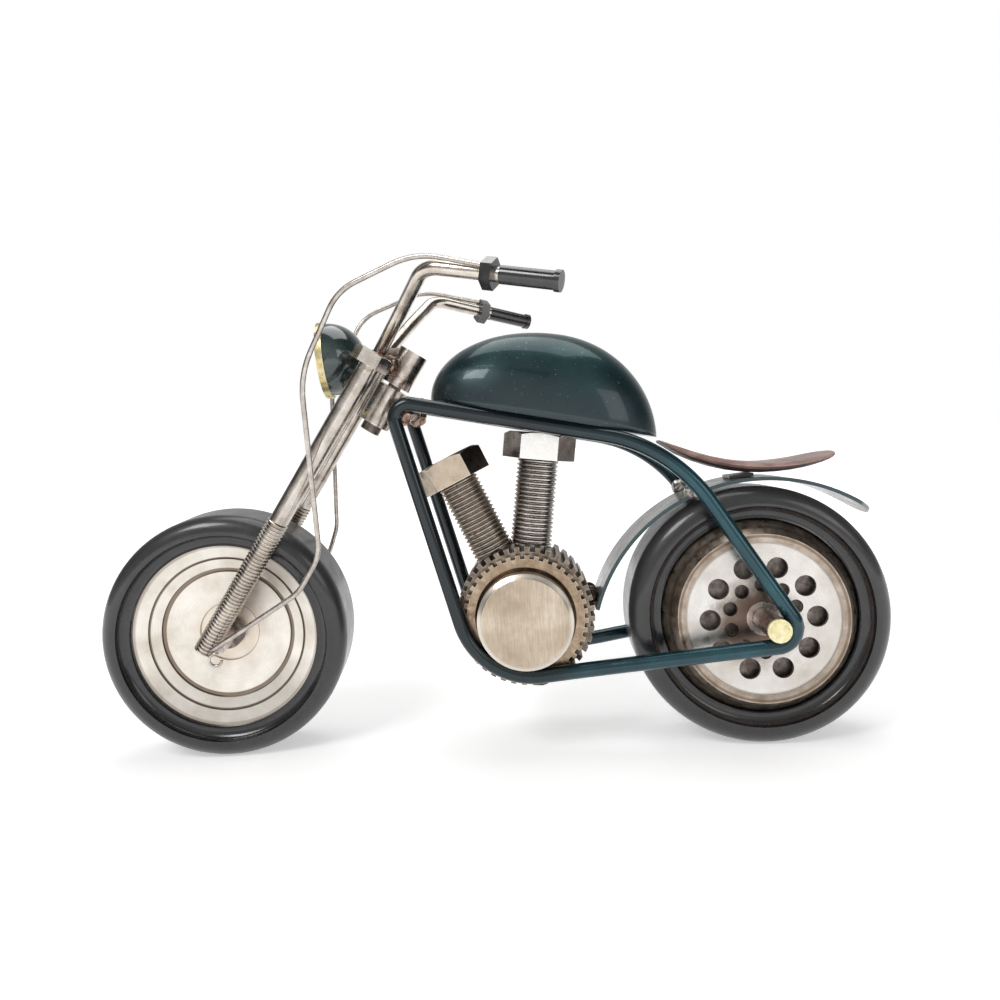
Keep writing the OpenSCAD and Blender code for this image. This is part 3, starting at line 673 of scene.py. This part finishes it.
def rubber(name, centre, axis):
    """Polished dark rubber: greyer, duller tread and shoulder, and fine scuffs."""
    mat, net = material(name)
    out = net.radius(centre, axis)
    tone = net.noise(7.0, 4.0, 0.6)
    colour = net.ramp(tone, [(0.3, (0.006, 0.006, 0.007)), (0.5, (0.011, 0.011, 0.013)),
                             (0.7, (0.019, 0.019, 0.021))])
    tread = net.step(out, TREAD_START, TREAD_FULL, 0.0, 0.85)
    colour = net.mix(tread, colour, (0.030, 0.030, 0.031))
    scuffs = net.noise(1.1, 4.0, 0.7, shift=(5.0, 1.0, 3.0))
    colour = net.mix(net.step(scuffs, 0.68, 0.78, 0.0, 0.35), colour, (0.11, 0.105, 0.10))
    net.put(net.bsdf.inputs["Base Color"], colour)
    dull = net.step(out, TREAD_START, TREAD_FULL, 0.0, 0.16)
    smear = net.step(net.noise(3.5, 4.0, 0.6, shift=(1.0, 1.0, 1.0)), 0.3, 0.7, 0.18, 0.30)
    net.put(net.bsdf.inputs["Roughness"], net.math("ADD", smear, dull))
    net.shine(0.5, 0.12)
    waves = net.math("MULTIPLY", net.noise(6.0, 2.0), 2.0)
    net.bump(net.math("ADD", net.noise(0.45, 3.0), waves), 0.012)
    return mat


RING_PITCH = 0.22
BROWN = (0.16, 0.11, 0.07)


def turned(name, centre, axis, dark, mid, light, bands, blot=12.0, rough=(0.24, 0.4), hub_stain_and_shadow=None,
           shadow_offset=(0.0, 0.0, 0.0)):
    """A lathe-turned disc: fine rings round its middle, brown bands and blotchy warm patina.

    A band is its radius, half its width, its softness and its share of brown.
    Hub stains and shadows are their share, their colour, and the radii where they are full and where they
    end; the shadow offset moves their centre, in millimetres.
    """
    mat, net = material(name)
    out = net.radius(centre, axis)
    tone = net.noise(blot, 4.0, 0.6)
    colour = net.ramp(tone, [(0.32, dark), (0.5, mid), (0.68, light)])
    rings = net.node("ShaderNodeTexNoise", noise_dimensions="1D")
    net.put(rings.inputs["W"], net.math("DIVIDE", out, RING_PITCH))
    rings.inputs["Scale"].default_value = 1.0
    rings.inputs["Detail"].default_value = 2.0
    fine = rings.outputs["Fac"]
    colour = net.mix(net.step(fine, 0.35, 0.65, 0.0, 0.16), colour, tuple(0.55 * c for c in dark))
    # darker towards the hub: brown stain, and on the rear disc also a painted shadow of the axle and rod
    if hub_stain_and_shadow:
        share, shade, full, end = hub_stain_and_shadow
        from_hub = net.radius(centre + Vector(shadow_offset) * MM, axis)
        blots = net.math("SUBTRACT", net.noise(5.0, 5.0, 0.7), 0.5)
        ragged = net.math("ADD", from_hub, net.math("MULTIPLY", blots, 9.0))
        colour = net.mix(net.step(ragged, end, full, 0.0, share), colour, shade)
    for middle, half, soft, share in bands:
        inside = net.band(out, middle, half, soft)
        colour = net.mix(net.math("MULTIPLY", inside, share), colour, BROWN)
    net.put(net.bsdf.inputs["Base Color"], colour)
    net.bsdf.inputs["Metallic"].default_value = 1.0
    smear = net.noise(blot * 0.4, 3.0, 0.6, shift=(1.0, 5.0, 2.0))
    net.put(net.bsdf.inputs["Roughness"], net.step(smear, 0.3, 0.7, *rough))
    net.bump(fine, 0.012)
    return mat


give(rubber("front_rubber", FRONT_AXLE, FRONT_AXIS), "front_tyre")
give(rubber("rear_rubber", REAR_AXLE, REAR_AXIS), "rear_tyre")
front_disc = turned("front_disc_metal", FRONT_AXLE, FRONT_AXIS,
                    (0.64, 0.58, 0.50), (0.79, 0.74, 0.67), (0.90, 0.86, 0.80),
                    bands=[(18.6, 0.62, 0.18, 0.85), (22.3, 0.34, 0.14, 0.85),
                           (26.2, 0.5, 0.3, 0.5), (8.6, 0.12, 0.08, 0.6)],
                    rough=(0.28, 0.42), hub_stain_and_shadow=(0.55, (0.66, 0.54, 0.42), 5.0, 13.0))
give(front_disc, "front_disc_left", "front_disc_right")
# Round its hub: brown stain, and a painted shadow of the axle and rod that falls to the left and below.
rear_disc = turned("rear_disc_metal", REAR_AXLE, REAR_AXIS,
                   (0.58, 0.54, 0.49), (0.70, 0.67, 0.63), (0.80, 0.78, 0.75),
                   bands=[(20.3, 0.3, 0.2, 0.5)], rough=(0.26, 0.4),
                   hub_stain_and_shadow=(0.95, (0.15, 0.10, 0.075), 6.0, 13.5), shadow_offset=(-2.5, 0.0, -1.0))
give(rear_disc, "perforated_disc_left", "perforated_disc_right")
rear_rim = turned("rear_rim_metal", REAR_AXLE, REAR_AXIS,
                  (0.31, 0.245, 0.195), (0.44, 0.365, 0.30), (0.58, 0.50, 0.43),
                  bands=[(22.0, 0.35, 0.2, 0.7), (24.2, 0.3, 0.2, 0.6), (26.2, 0.4, 0.2, 0.7)],
                  rough=(0.26, 0.44), blot=5.0)
give(rear_rim, "rear_rim_left", "rear_rim_right")
hub = steel("hub_metal", (0.40, 0.34, 0.30), (0.56, 0.50, 0.45), (0.72, 0.67, 0.62),
            patina=(0.30, 0.20, 0.14), patina_share=0.3, rough=(0.22, 0.38), blot=3.0)
give(hub, "rear_hub")
core = steel("core_metal", (0.10, 0.085, 0.075), (0.18, 0.155, 0.14), (0.30, 0.27, 0.25),
             patina=(0.12, 0.08, 0.06), patina_share=0.3, rough=(0.35, 0.55), blot=1.8)
give(core, "front_core", "rear_core")


# ---------- tank and welds that replace CAD nodes ----------

WELD_CELL, WELD_DEPTH, WELD_LUMP = 0.22 * MM, 0.28 * MM, 1.1 * MM

piece("tank_shell", tank_form(), "frame", "tank_paint", tank_mat, "fuel_tank")
copper = steel("copper_weld_metal", (0.20, 0.125, 0.095), (0.33, 0.22, 0.175), (0.48, 0.36, 0.30),
               patina=(0.14, 0.08, 0.06), patina_share=0.3, rough=(0.22, 0.42), blot=2.0)
dark_weld = steel("dark_weld_metal", (0.035, 0.028, 0.024), (0.075, 0.06, 0.052),
                  (0.16, 0.135, 0.115), patina=(0.30, 0.27, 0.24), patina_share=0.1,
                  rough=(0.3, 0.5), blot=1.6)
grey_weld = steel("grey_weld_metal", (0.28, 0.27, 0.25), (0.44, 0.43, 0.41), (0.62, 0.61, 0.58),
                  patina=(0.12, 0.10, 0.09), patina_share=0.2, rough=(0.3, 0.48), blot=2.0)
for name, mat, slot, body in (
        ("neck_welds", copper, "copper_weld", "frame"),
        ("crown_welds", copper, "copper_weld", "steering"),
        ("tank_welds", dark_weld, "dark_weld", "frame"),
        ("engine_welds", dark_weld, "dark_weld", "frame"),
        ("axle_welds", dark_weld, "dark_weld", "frame"),
        ("fender_welds", grey_weld, "grey_weld", "frame")):
    form = refined(name, WELD_CELL, WELD_DEPTH, WELD_LUMP, len(name))
    if name == "engine_welds":  # flattened below, so that it doesn't show under the lower rail
        for v in form.verts:
            v.co.z = max(v.co.z, WELD_FOOT)
    piece(name + "_set", form, body, slot, mat, name)
